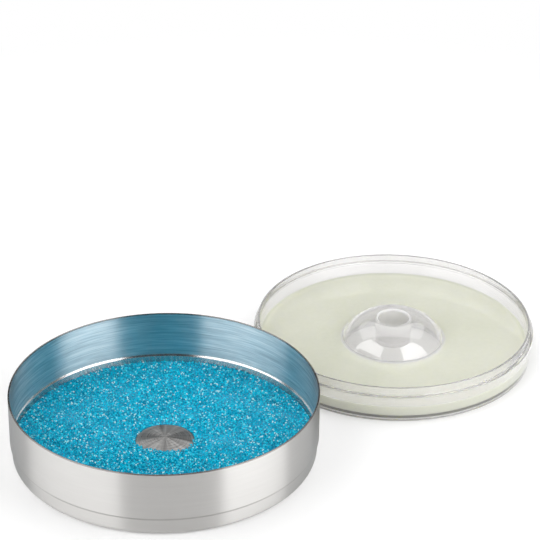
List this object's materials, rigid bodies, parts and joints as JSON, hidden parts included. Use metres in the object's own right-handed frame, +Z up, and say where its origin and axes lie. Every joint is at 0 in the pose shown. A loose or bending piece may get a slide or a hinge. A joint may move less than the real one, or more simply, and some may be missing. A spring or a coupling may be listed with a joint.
{
  "type": "cocktail glass rimmer",
  "caption": "Round steel dish of rimming sugar with a centre boss, and beside it a round clear plastic juice tray with a stepped wall and a central dome with a well.",
  "frame": {"origin": "middle of the set's footprint, on the surface that the two vessels stand on", "axes": "+Z up along both vessels' axes; +X across the set, the dish on the -X side and the tray on the +X side; +Y from the dish towards the tray's side"},
  "size_m": [0.2792, 0.2626, 0.036],
  "materials": {
    "brushed_dish_steel": "satin brushed round the wall",
    "spun_boss_steel": "spun",
    "blue_sugar": "coarse crystals",
    "clear_plastic": "clear, polished",
    "citrus_juice": "cloudy liquid"
  },
  "bodies": {
    "dish": {"dish_pan": "brushed_dish_steel", "centre_boss": "spun_boss_steel", "rimming_sugar": "blue_sugar"},
    "tray": {"juice_tray": "clear_plastic", "citrus_juice": "citrus_juice"}
  },
  "joints": [
    {"name": "tray_lift", "type": "slide", "parent": "dish", "child": "tray", "axis": [0, 0, 1], "range_m": [0, 0.06]}
  ]
}
